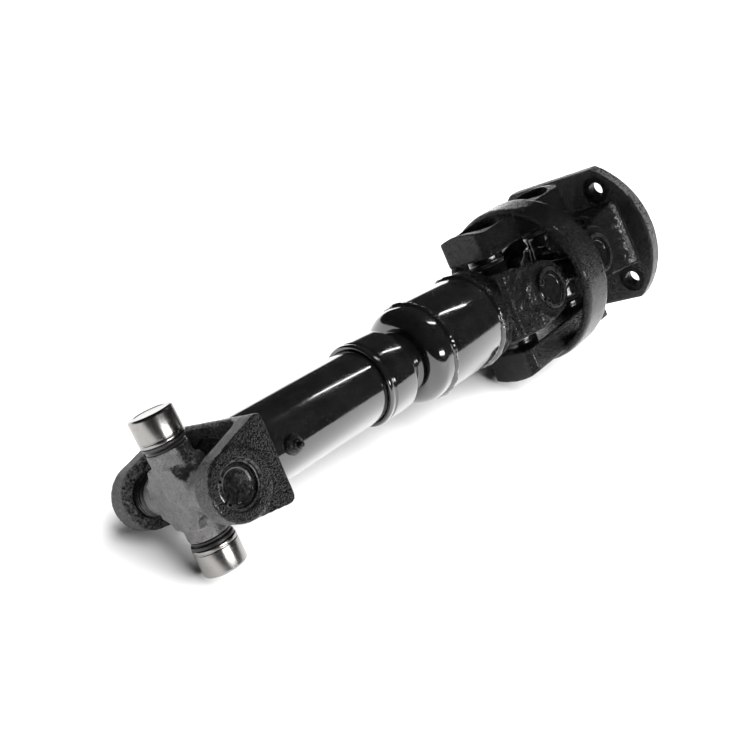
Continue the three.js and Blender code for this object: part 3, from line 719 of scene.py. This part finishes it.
def fork_dryness(point, normal):
    """Overspray covers what faces the open end of the fork, inside and on its rims."""
    x, y = point.x / MM, abs(point.y) / MM
    floor = x > FORK_FLOOR - 1.5 and y < EAR_IN
    rim = 0.95 if EAR_IN - 0.5 < y < EAR_OUT - 0.6 and abs(normal.y) < 0.7 else 0.0
    left = 0.7 if point.y > 0 and y < EAR_IN + 1 else 0.0
    return 0.0 if floor else max(-0.9 * normal.x, rim - max(0.0, x - 22) * 0.06, left - max(0.0, x) * 0.03)


fork = slip_yoke_fork()
fork = carved(fork, *ear_cutters(), rod(PLUG_R + 0.3, FORK_FLOOR - 5, FORK_FLOOR + 6, "x", 96),
              rod(PLUG_R - 2.5, FORK_FLOOR + 5, FORK_FLOOR + 30, "x", 96))
install(fork, "slip_yoke_fork", SHAFT, "slip_yoke", "cast_black", "slip_yoke")
shaded(fork, "dry", SHAFT, fork_dryness)

barrel = turned("barrel", rounded([
    (20.5, FORK_BACK + 9), (BARREL_R - 0.2, FORK_BACK + 9, 0.1), (BARREL_R, FORK_BACK + 9.6, 0.1),
    (BARREL_R, BARREL_END, 0.8), (19.15, BARREL_END, 0.5), (19.15, BARREL_END - 32, 0.2),
    (18.6, BARREL_END - 33, 0.2), (18.6, FORK_BACK + 30, 0.3), (20.5, FORK_BACK + 28, 0.3),
]), "x", 128)
install(barrel, "slip_yoke_barrel", SHAFT, "slip_yoke", "gloss_black", "slip_yoke")

plug = turned("plug", rounded([
    (0, FORK_FLOOR + 2.4), (PLUG_R - 7, FORK_FLOOR + 2.4, 1.5), (PLUG_R - 4, FORK_FLOOR + 0.9, 0.8),
    (PLUG_R - 0.5, FORK_FLOOR + 0.9, 0.4), (PLUG_R, FORK_FLOOR + 1.5, 0.3), (PLUG_R, FORK_FLOOR + 3.6, 0.3),
    (PLUG_R - 3, FORK_FLOOR + 4.0, 0.8), (PLUG_R - 6, FORK_FLOOR + 5.4, 1.0), (0, FORK_FLOOR + 5.4),
]), "x", 96)
install(plug, "slip_yoke_plug", SHAFT, "slip_yoke", "cast_black", "slip_yoke_core_plug")

SEAL_END = CAP_END - 4.5
CAP_BORE = BARREL_R + 0.35
cap = turned("cap", rounded([
    (CAP_BORE, CAP_START, 0.3), (CAP_R - 1.0, CAP_START, 0.5), (CAP_R, CAP_START + 1.0, 0.7),
    (CAP_R, CAP_START + 3.4, 0.7), (CAP_R - 0.9, CAP_START + 4.4, 0.4), (CAP_R - 0.9, CAP_START + 5.2, 0.4),
    (CAP_R - 0.1, CAP_START + 6.2, 0.6), (CAP_R - 0.1, CAP_END - 2.2, 1.6), (CAP_R - 2.6, CAP_END, 1.2),
    (JOURNAL_R + 1.4, CAP_END, 0.4), (JOURNAL_R + 0.7, CAP_END - 0.7, 0.3), (JOURNAL_R + 0.7, SEAL_END + 0.3, 0.2),
    (CAP_BORE, SEAL_END + 0.3, 0.2),
]), "x", 128)
install(cap, "slip_dust_cap_shell", SHAFT, "slip_yoke", "gloss_black", "slip_dust_cap")

ring = turned("ring", rounded([
    (JOURNAL_R + 0.3, BARREL_END + 0.3), (BARREL_R - 0.2, BARREL_END + 0.3), (BARREL_R - 0.2, SEAL_END),
    (JOURNAL_R + 0.3, SEAL_END),
], 0.6), "x", 96)
install(ring, "slip_wiper_seal", SHAFT, "slip_yoke", "seal_rubber", "slip_seal")

FITTING_X, FITTING_ANGLE = 60.0, 96.0


def grease_fitting():
    low = BARREL_R + 0.3
    boss = turned("boss", rounded([
        (0, low), (6.5, low, 0.2), (6.3, low + 1.6, 0.8), (5.2, low + 3.2, 1.0), (3.2, low + 3.9, 0.6),
        (0, low + 3.9),
    ]), "z", 48)
    hexagon = prism(arc(3.6, 0, 2 * math.pi * 5 / 6, 5), low + 2.5, low + 5.4)
    hexagon = modified(hexagon, "BEVEL", width=0.25, segments=2)
    nipple = turned("nipple", rounded([
        (0, low + 5), (2.0, low + 5, 0.2), (1.7, low + 6.2, 0.3), (2.2, low + 7.3, 0.5), (1.4, low + 8.7, 0.4),
        (0, low + 8.7),
    ]), "z", 32)
    fitting = fused(boss, hexagon, nipple)
    fitting.data.transform(Matrix.Translation((FITTING_X, 0, 0)))
    fitting.data.transform(Matrix.Rotation(math.radians(FITTING_ANGLE), 4, "X"))
    return fitting


fitting = install(grease_fitting(), "slip_grease_nipple", SHAFT, "slip_yoke", "cast_black", "slip_grease_fitting")


# ---- spline stub, tube, welds ---------------------------------------------------------------------
def stub_mesh():
    rim_end = TUBE_START - WELD
    spigot = TUBE_R - TUBE_WALL - 0.3
    profile = [(0, 62), (16.0, 62, 0.5), (16.0, BARREL_END - 24, 0.2), (JOURNAL_R, BARREL_END - 22, 0.4),
               (JOURNAL_R, DOME_START - 2.2, 0.6), (JOURNAL_R + 2.5, DOME_START, 0.6)]
    steps = 14
    for step in range(1, steps + 1):
        angle = step / steps * math.pi / 2
        profile.append((JOURNAL_R + 2.5 + (TUBE_R - JOURNAL_R - 2.5) * math.sin(angle),
                        DOME_START + (RIM_START - DOME_START) * (1 - math.cos(angle)) ** 0.9, 0.0))
    profile += [(TUBE_R, rim_end - 0.6, 0.2), (TUBE_R - 0.6, rim_end, 0.2), (spigot, rim_end, 0.2),
                (spigot, rim_end + 14, 0.5), (spigot - 6, rim_end + 15, 0.5), (spigot - 6, rim_end - 1, 1.0),
                (0, rim_end - 4)]
    teeth = []
    count = 28
    for tooth in range(count):
        for offset, radius in ((-0.32, 16.0), (-0.16, 17.9), (0.16, 17.9), (0.32, 16.0)):
            angle = 2 * math.pi * (tooth + offset) / count
            teeth.append((radius * math.cos(angle), radius * math.sin(angle)))
    return fused(turned("stub", rounded(profile, 0.5), "x", 128), prism(teeth, 63, BARREL_END - 24, "yz"))


install(stub_mesh(), "spline_stub_shaft", SHAFT, "tube_shaft", "gloss_black", "spline_stub")
tube = turned("tube", rounded([
    (TUBE_R - TUBE_WALL, TUBE_START), (TUBE_R, TUBE_START), (TUBE_R, TUBE_END), (TUBE_R - TUBE_WALL, TUBE_END),
], 0.4), "x", 128)
install(tube, "drive_tube_shell", SHAFT, "tube_shaft", "gloss_black", "drive_tube")


def weld_ripple(radius, along, angle):
    """Overlapping puddles of a weld run."""
    crown = max(0.0, radius - TUBE_R + 0.2)
    wave = 0.5 + 0.5 * math.sin(angle * 70 + 1.4 * math.sin(along * 2.2))
    lift = noise.noise(Vector((math.cos(angle) * 9, math.sin(angle) * 9, along * 0.4)))
    return radius + crown * (0.12 * wave + 0.45 * lift), along + 0.3 * lift


def weld_bead(low):
    high = low + WELD - 0.6
    inner = TUBE_R - TUBE_WALL + 0.5
    spill, crown = 1.1, 2.0
    profile = [(inner, low), (TUBE_R - 0.6, low - spill)]
    profile += [(TUBE_R - 0.6 + crown * math.sin(math.pi * i / 10) ** 0.7,
                 low - spill + (high - low + 2 * spill) * i / 10) for i in range(1, 10)]
    profile += [(TUBE_R - 0.6, high + spill), (inner, high)]
    return turned("weld", profile, "x", 560, ripple=weld_ripple)


install(weld_bead(TUBE_START - WELD + 0.3), "weld_bead_front", SHAFT, "tube_shaft", "gloss_black", "weld_front")
install(weld_bead(TUBE_END + 0.3), "weld_bead_rear", SHAFT, "tube_shaft", "gloss_black", "weld_rear")


# ---- weld yoke ------------------------------------------------------------------------------------
def weld_yoke_fork():
    seat_end = SEAT_END - STATION_A
    seat_start = TUBE_END + WELD - STATION_A
    end = EAR_R + 1
    flare = seat_end + 14
    plan = [
        (end, SHANK_OUT), (flare, SHANK_OUT), (seat_end, TUBE_R - 0.5), (seat_end - 6, TUBE_R - 0.5),
        (seat_end - 6, -TUBE_R + 0.5), (seat_end, -TUBE_R + 0.5), (flare, -SHANK_OUT), (end, -SHANK_OUT),
        (end, -EAR_IN), (seat_end + 13, -EAR_IN), (seat_end + 8, -EAR_IN + 4), (seat_end + 4, -EAR_IN + 12),
        (seat_end + 4, EAR_IN - 12), (seat_end + 8, EAR_IN - 4), (seat_end + 13, EAR_IN), (end, EAR_IN),
    ]
    side = ear_side([(-seat_end, -SHANK_HALF), (-seat_end + 7, -SHANK_HALF), (-seat_end + 7, SHANK_HALF),
                     (-seat_end, SHANK_HALF)], flip=True)
    seat = rod(TUBE_R - 0.8, seat_start + 3, seat_end, "x", 96, chamfer=1.0)
    fork = clipped([prism(plan, -BLANK_HALF_HEIGHT, BLANK_HALF_HEIGHT)] + boss_rods(SKIRT), side)
    body = casting(joined(*fork, seat), smooth=7)
    spigot = TUBE_R - TUBE_WALL - 0.3
    collar = turned("collar", rounded([
        (0, seat_start - 6), (spigot - 6, seat_start - 2, 1.0), (spigot - 6, seat_start - 13, 0.5),
        (spigot, seat_start - 12, 0.5), (spigot, seat_start, 0.2), (TUBE_R - 0.6, seat_start, 0.2),
        (TUBE_R, seat_start + 0.6, 0.2), (TUBE_R, seat_start + 6, 0.4), (TUBE_R - 0.7, seat_start + 6.8, 0.3),
        (TUBE_R - 0.7, seat_start + 8, 0.3), (TUBE_R, seat_start + 8.8, 0.4), (TUBE_R, seat_end - 1.5, 1.0),
        (TUBE_R - 1.5, seat_end, 1.0), (0, seat_end),
    ]), "x", 128)
    return carved(fused(body, collar), *ear_cutters())


weld_yoke = install(weld_yoke_fork(), "weld_yoke_fork", WELD_YOKE, "tube_shaft", "cast_black", "weld_yoke")


# ---- centring ball and socket -----------------------------------------------------------------------
def centring_yoke():
    low, high = EAR_IN - 5, EAR_IN - 0.3
    parts = [prism([(BRIDGE_NEAR, -high), (BRIDGE_FAR, -high), (BRIDGE_FAR, high), (BRIDGE_NEAR, high)], -8, 8)]
    for start, stop in ((low, high), (-high, -low)):
        parts.append(rod(17.0, start, stop, "y", 64))
        parts.append(prism([(0, start), (BRIDGE_FAR, start), (BRIDGE_FAR, stop), (0, stop)], -8, 8))
    body = casting(joined(*parts), voxel=0.7, smooth=3, coarse=0.06, fine=0.015)
    return carved(body, rod(CUP_R + 0.4, 20, 40, "y", 64), rod(CUP_R + 0.4, -40, -20, "y", 64))


def ball_stud():
    centre = SPAN / 2
    first = math.asin(5 / BALL_R)
    steps = 20
    profile = [(0, BRIDGE_NEAR + 1), (5, BRIDGE_NEAR + 1)]
    profile += [(BALL_R * math.sin(first + (math.pi - first) * i / steps),
                 centre - BALL_R * math.cos(first + (math.pi - first) * i / steps)) for i in range(steps)]
    profile.append((0, centre + BALL_R))
    return fused(centring_yoke(), turned("ball", profile, "x", 64))


def ball_socket():
    mouth = SPAN / 2 + 4
    tower = turned("tower", rounded([(0, BRIDGE_NEAR + 1), (SOCKET_R, BRIDGE_NEAR + 1), (SOCKET_R, mouth, 1.2),
                                     (0, mouth)], 0.4), "x", 64)
    body = carved(fused(centring_yoke(), tower), rod(SOCKET_INNER_R, BRIDGE_NEAR + 4, mouth + 1, "x", 64))
    body.data.transform(Matrix.Rotation(math.pi, 4, "Z"))
    return body


install(ball_stud(), "centring_ball_stud", WELD_YOKE, "tube_shaft", "cast_black", "centring_ball_yoke",
        look="painted_steel")
install(ball_socket(), "centring_socket", FLANGE, "flange_yoke", "cast_black", "centring_socket_yoke",
        look="painted_steel")


def spring_coil():
    """A flat coil spring behind the ball's seat."""
    turns, wire, radius = 2.0, 0.35, 5.4
    back = -(BRIDGE_NEAR + 4.7)
    steps, sides = 96, 10
    vertices, faces = [], []
    for step in range(steps + 1):
        angle = 2 * math.pi * turns * step / steps
        along = back - 0.45 * turns * step / steps
        outward = Vector((0, math.cos(angle), math.sin(angle)))
        for side in range(sides):
            around = 2 * math.pi * side / sides
            point = outward * (radius + wire * math.cos(around)) + Vector((along + wire * math.sin(around), 0, 0))
            vertices.append(point)
    for step in range(steps):
        for side in range(sides):
            a, b = step * sides + side, step * sides + (side + 1) % sides
            faces.append((a, b, b + sides, a + sides))
    faces.append(tuple(range(sides)))
    faces.append(tuple(range(steps * sides + sides - 1, steps * sides - 1, -1)))
    return mesh_object("spring", vertices, faces)


install(spring_coil(), "centring_spring_coil", FLANGE, "flange_yoke", "spring_steel", "centring_ball_spring")


# ---- centre yoke ------------------------------------------------------------------------------------
def centre_yoke_body():
    middle = SPAN / 2
    start, end = -ARM_REACH, SPAN + ARM_REACH
    bevel = 5.0
    plan = [
        (start + bevel, -ARM_HALF), (end - bevel, -ARM_HALF), (end, -ARM_HALF + bevel), (end, ARM_HALF - bevel),
        (end - bevel, ARM_HALF), (start + bevel, ARM_HALF), (start, ARM_HALF - bevel), (start, -ARM_HALF + bevel),
    ]
    arms = [common(prism(plan, low, high), rod(ARM_OUTER_R, start - 1, end + 1, "x", 96))
            for low, high in ((EAR_IN, RING_R), (-RING_R, -EAR_IN))]
    low, high = middle - RING_HALF, middle + RING_HALF
    band = turned("band", rounded([
        (RING_INNER_R, low, 1.0), (RING_R - 1.0, low, 1.0), (RING_R + 0.3, low + 3, 1.5),
        (RING_R + 0.3, high - 3, 1.5), (RING_R - 1.0, high, 1.0), (RING_INNER_R, high, 1.0),
    ]), "x", 128)
    body = casting(joined(band, *arms), smooth=4)
    for x in (0, SPAN):
        cutters = ear_cutters("z")
        cutters += [rod(ARM_RECESS_R, low, high, "z", 72)
                    for low, high in ((BOSS_OUT, RING_R + 5), (-RING_R - 5, -BOSS_OUT))]
        for cutter in cutters:
            cutter.data.transform(Matrix.Translation((x, 0, 0)))
        carved(body, *cutters)
    return body


centre = install(centre_yoke_body(), "centre_yoke_casting", CROSS_A, "centre_yoke", "cast_black", "centre_yoke")


# ---- flange yoke ------------------------------------------------------------------------------------
def flange_yoke_body():
    front = FACE - FLANGE_THICK
    floor, half = FLANGE_FLOOR, FLANGE_BASE_HALF
    end = EAR_R + 1
    plan = [
        (-end, -SHANK_OUT), (floor, -SHANK_OUT), (front - 4, -EAR_OUT), (front + 1, -EAR_OUT - 4),
        (front + 1, EAR_OUT + 4), (front - 4, EAR_OUT), (floor, SHANK_OUT), (-end, SHANK_OUT), (-end, EAR_IN),
        (19, EAR_IN), (floor - 2, EAR_IN - 5), (floor, EAR_IN - 12), (floor, -EAR_IN + 12),
        (floor - 2, -EAR_IN + 5), (19, -EAR_IN), (-end, -EAR_IN),
    ]
    side = ear_side([(front - 4, -half), (front + 1, -half), (front + 1, half), (front - 4, half)])
    fork = clipped([prism(plan, -BLANK_HALF_HEIGHT, BLANK_HALF_HEIGHT)] + boss_rods(SKIRT), side)
    half = math.acos(FLANGE_FLAT / FLANGE_R)
    outline = arc(FLANGE_R, -math.pi / 2 + half, math.pi / 2 - half, 48)
    outline += arc(FLANGE_R, math.pi / 2 + half, 3 * math.pi / 2 - half, 48)
    plate = prism(outline, front, FACE + 1.5, "yz")
    body = casting(joined(*fork, plate), smooth=8)
    cutters = ear_cutters()
    cutters.append(rod(FLANGE_R + 8, FACE, FACE + 8, "x", 96))
    cutters.append(turned("cutter", [(0, FACE - PILOT_DEPTH), (PILOT_R, FACE - PILOT_DEPTH), (PILOT_R, FACE - 0.8),
                                     (PILOT_R + 1.0, FACE + 1), (0, FACE + 1)], "x", 96))
    for y in (-BOLT_OFFSET, BOLT_OFFSET):
        for z in (-BOLT_OFFSET, BOLT_OFFSET):
            hole = rod(BOLT_R, front - 6, FACE + 6, "x", 48)
            spot = rod(SPOT_R, front - 14, front + 0.9, "x", 64)
            for cutter in (hole, spot):
                cutter.data.transform(Matrix.Translation((0, y, z)))
                cutters.append(cutter)
    return carved(body, *cutters)


def rim_dryness(point, normal):
    """The rim of the flange is rougher and drier than its faces."""
    radius = math.hypot(point.y, point.z) / MM
    return 0.75 if radius > FLANGE_FLAT - 1 and abs(normal.x) < 0.6 else 0.0


flange = install(flange_yoke_body(), "flange_yoke_casting", FLANGE, "flange_yoke", "cast_black", "flange_yoke")
shaded(flange, "dry", FLANGE, rim_dryness)


# ---- floor, light and camera ------------------------------------------------------------------------
def floor_plane():
    size = 12.0
    floor = mesh_object("floor", [(-size, -size, 0), (size, -size, 0), (size, size, 0), (-size, size, 0)],
                        [(0, 1, 2, 3)])
    material, tree, shader = new_material("floor_pale", (0.86, 0.86, 0.86), 0.6)
    tree.links.new(ramp(tree, noise_node(tree, 3, 2), 0.3, 0.7, 0.55, 0.65), shader.inputs["Roughness"])
    floor.data.materials.append(material)
    return floor


def area_light(name, start, end, target, width, power):
    """A strip light from start to end that faces the target."""
    start, end = Vector(start), Vector(end)
    data = bpy.data.lights.new(name, "AREA")
    data.shape = "RECTANGLE"
    data.size, data.size_y = (end - start).length, width
    data.energy = power
    light = bpy.data.objects.new(name, data)
    along = (end - start).normalized()
    middle = (start + end) / 2
    back = middle - Vector(target)
    back = (back - along * back.dot(along)).normalized()
    turn = Matrix((along, back.cross(along), back)).transposed().to_4x4()
    light.matrix_world = Matrix.Translation(middle) @ turn
    bpy.context.scene.collection.objects.link(light)


SURROUND = 0.03                       # brightness of the room
SKY_ENERGY = 10.0                     # broad overhead softbox, which paint doesn't mirror
SKY_ANGLE = math.radians(80)
SKY_FROM = Vector((0.36, -0.46, 0.81))


def studio():
    world = bpy.data.worlds.new("studio")
    world.use_nodes = True
    background = world.node_tree.nodes["Background"]
    background.inputs["Color"].default_value = (1, 1, 1, 1)
    background.inputs["Strength"].default_value = SURROUND
    bpy.context.scene.world = world
    bpy.context.scene.view_settings.view_transform = "Standard"
    sky = bpy.data.lights.new("sky", "SUN")
    sky.energy = SKY_ENERGY
    sky.angle = SKY_ANGLE
    dome = bpy.data.objects.new("sky", sky)
    dome.rotation_euler = (-SKY_FROM).to_track_quat("-Z", "Y").to_euler()
    dome.visible_glossy = False
    bpy.context.scene.collection.objects.link(dome)
    area_light("strip", (0.80, 0.0, 1.2), (1.25, -0.18, 1.2), (0.05, 0, 0.05), 0.05, 2.0)
    area_light("window", (-0.55, -1.55, 0.56), (0.45, -1.55, 0.56), (-0.2, 0, 0.05), 0.2, 14.0)


CAMERA_ELEVATION = math.radians(31.12)
CAMERA_AZIMUTH = math.radians(-53.37)
CAMERA_ROLL = math.radians(-5.41)
CAMERA_DISTANCE = 0.7114
CAMERA_TARGET = Vector((-0.0506, -0.0081, 0.060))
CAMERA_LENS = 53.0


def camera():
    """Looks down the shaft from its bare end, at the elevation and roll of a hand-held product shot."""
    data = bpy.data.cameras.new("camera")
    data.lens = CAMERA_LENS
    data.clip_start = 0.01
    obj = bpy.data.objects.new("camera", data)
    bpy.context.scene.collection.objects.link(obj)
    away = Vector((math.sin(CAMERA_AZIMUTH) * math.cos(CAMERA_ELEVATION),
                   -math.cos(CAMERA_AZIMUTH) * math.cos(CAMERA_ELEVATION), math.sin(CAMERA_ELEVATION)))
    look = (-away).to_track_quat("-Z", "Y").to_matrix().to_4x4()
    obj.matrix_world = (Matrix.Translation(CAMERA_TARGET + away * CAMERA_DISTANCE) @ look
                        @ Matrix.Rotation(-CAMERA_ROLL, 4, "Z"))
    bpy.context.scene.camera = obj


floor_plane()
studio()
camera()
